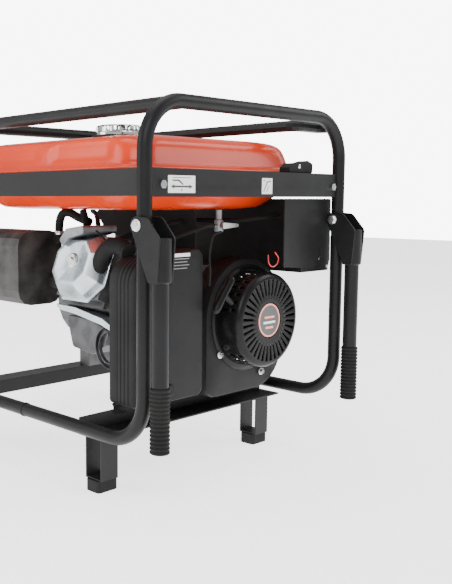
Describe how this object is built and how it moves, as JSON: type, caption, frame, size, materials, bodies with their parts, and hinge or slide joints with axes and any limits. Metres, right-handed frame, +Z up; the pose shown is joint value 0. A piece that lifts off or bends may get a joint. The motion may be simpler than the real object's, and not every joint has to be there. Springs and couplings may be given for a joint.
{
  "type": "portable generator",
  "caption": "Wheeled portable generator: tube frame with folding handles, orange fuel tank, engine with recoil starter and air box, alternator, muffler and socket panel.",
  "frame": {"origin": "on the ground under the middle of the frame", "axes": "+X from the wheels to the recoil starter and folding handles, +Y towards the control panel, +Z up"},
  "size_m": [0.7595, 0.699, 0.7007],
  "materials": {
    "black_paint": "satin black powder coat",
    "black_plastic": "fine-grained moulding",
    "rubber": "matt black",
    "tyre": "matt black",
    "orange_paint": "gloss orange enamel",
    "zinc_steel": "bright zinc plate",
    "cast_aluminium": "as-cast grey",
    "dark_steel": "dull dark steel",
    "chrome": "polished",
    "white_plastic": "off-white",
    "red_plastic": "red"
  },
  "bodies": {
    "root": {"air_box_base": "black_plastic", "air_box_cover": "black_plastic", "alternator_crossmember": "black_paint", "alternator_end_beam": "black_paint", "alternator_end_cover": "cast_aluminium", "alternator_end_hoop": "black_paint", "alternator_housing": "cast_aluminium", "axle": "zinc_steel", "carburettor": "cast_aluminium", "crankcase_cover": "cast_aluminium", "cylinder_head": "cast_aluminium", "cylinder_side_beam": "black_paint", "cylinder_side_beam_bolt": "zinc_steel", "cylinder_side_foot": "rubber", "cylinder_side_leg": "black_paint", "cylinder_side_pivot_bolt": "zinc_steel", "cylinder_side_top_rail": "black_paint", "engine_block": "cast_aluminium", "fan_shroud": "black_plastic", "fuel_hose": "rubber", "fuel_tank": "orange_paint", "fuel_valve": "cast_aluminium", "ignition_lead": "black_plastic", "muffler": "dark_steel", "panel_box": "black_paint", "panel_face": "black_plastic", "panel_side_beam": "black_paint", "panel_side_beam_bolt": "zinc_steel", "panel_side_foot": "rubber", "panel_side_leg": "black_paint", "panel_side_pivot_bolt": "zinc_steel", "panel_side_top_rail": "black_paint", "piston": "cast_aluminium", "recoil_cover": "black_plastic", "recoil_crossmember": "black_paint", "recoil_end_beam": "black_paint", "recoil_end_hoop": "black_paint", "spark_plug": "white_plastic", "valve_cover": "cast_aluminium", "voltmeter": "white_plastic"},
    "cylinder_handle": {"cylinder_side_handle": "black_paint", "cylinder_side_handle_grip": "rubber"},
    "panel_handle": {"panel_side_handle": "black_paint", "panel_side_handle_grip": "rubber"},
    "cylinder_wheel": {"cylinder_side_tyre": "tyre", "cylinder_side_rim": "white_plastic"},
    "panel_wheel": {"panel_side_tyre": "tyre", "panel_side_rim": "white_plastic"},
    "crank": {"crankshaft": "dark_steel", "flywheel_fan": "cast_aluminium", "alternator_rotor": "dark_steel"},
    "pulley": {"rope_pulley": "dark_steel"},
    "starter": {"starter_grip": "black_plastic"},
    "filler_cap": {"fuel_cap": "chrome"},
    "fuel_lever": {"fuel_valve_lever": "zinc_steel"},
    "choke": {"choke_lever": "zinc_steel"},
    "key": {"key_switch": "zinc_steel"},
    "breaker": {"breaker_toggle": "red_plastic"},
    "left_lid": {"left_socket_lid": "black_plastic"},
    "right_lid": {"right_socket_lid": "black_plastic"}
  },
  "joints": [
    {"name": "cylinder_handle_fold", "type": "hinge", "parent": "root", "child": "cylinder_handle", "pos_m": [0.325, -0.2715, 0.4883], "axis": [0, -1, 0], "range_deg": [0, 90]},
    {"name": "panel_handle_fold", "type": "hinge", "parent": "root", "child": "panel_handle", "pos_m": [0.325, 0.2715, 0.4883], "axis": [0, -1, 0], "range_deg": [0, 90]},
    {"name": "cylinder_wheel_spin", "type": "hinge", "parent": "root", "child": "cylinder_wheel", "pos_m": [-0.28, -0.32, 0.1], "axis": [0, 1, 0], "continuous": true},
    {"name": "panel_wheel_spin", "type": "hinge", "parent": "root", "child": "panel_wheel", "pos_m": [-0.28, 0.32, 0.1], "axis": [0, 1, 0], "continuous": true},
    {"name": "crank_spin", "type": "hinge", "parent": "root", "child": "crank", "pos_m": [0.059, 0.092, 0.2963], "axis": [1, 0, 0], "continuous": true},
    {"name": "starter_pull", "type": "slide", "parent": "root", "child": "starter", "axis": [0, -0.9848, 0.1736], "range_m": [0, 0.45], "stiffness_N_per_m": 20},
    {"name": "pulley_turn", "type": "hinge", "parent": "root", "child": "pulley", "pos_m": [0.262, 0.092, 0.2963], "axis": [1, 0, 0], "range_deg": [0, 880]},
    {"name": "filler_cap_turn", "type": "hinge", "parent": "root", "child": "filler_cap", "pos_m": [0.126, -0.146, 0.6438], "axis": [0, 0, 1], "range_deg": [0, 90]},
    {"name": "fuel_lever_turn", "type": "hinge", "parent": "root", "child": "fuel_lever", "pos_m": [0.2383, 0.022, 0.479], "axis": [-1, 0, 0], "range_deg": [0, 90]},
    {"name": "choke_turn", "type": "hinge", "parent": "root", "child": "choke", "pos_m": [0.1433, -0.16583, 0.36169], "axis": [0, 1, 0], "range_deg": [0, 60]},
    {"name": "key_turn", "type": "hinge", "parent": "root", "child": "key", "pos_m": [0.225, 0.2753, 0.4223], "axis": [0, 1, 0], "range_deg": [0, 60]},
    {"name": "breaker_throw", "type": "hinge", "parent": "root", "child": "breaker", "pos_m": [0.145, 0.2798, 0.4573], "axis": [1, 0, 0], "range_deg": [-20, 20]},
    {"name": "left_lid_lift", "type": "hinge", "parent": "root", "child": "left_lid", "pos_m": [0.045, 0.2856, 0.4933], "axis": [1, 0, 0], "range_deg": [0, 110], "stiffness_Nm_per_rad": 0.02},
    {"name": "right_lid_lift", "type": "hinge", "parent": "root", "child": "right_lid", "pos_m": [-0.075, 0.2856, 0.4933], "axis": [1, 0, 0], "range_deg": [0, 110], "stiffness_Nm_per_rad": 0.02}
  ],
  "couplings": [
    {"joint": "pulley_turn", "follows": "starter_pull", "rad_per_m": 33.333}
  ]
}
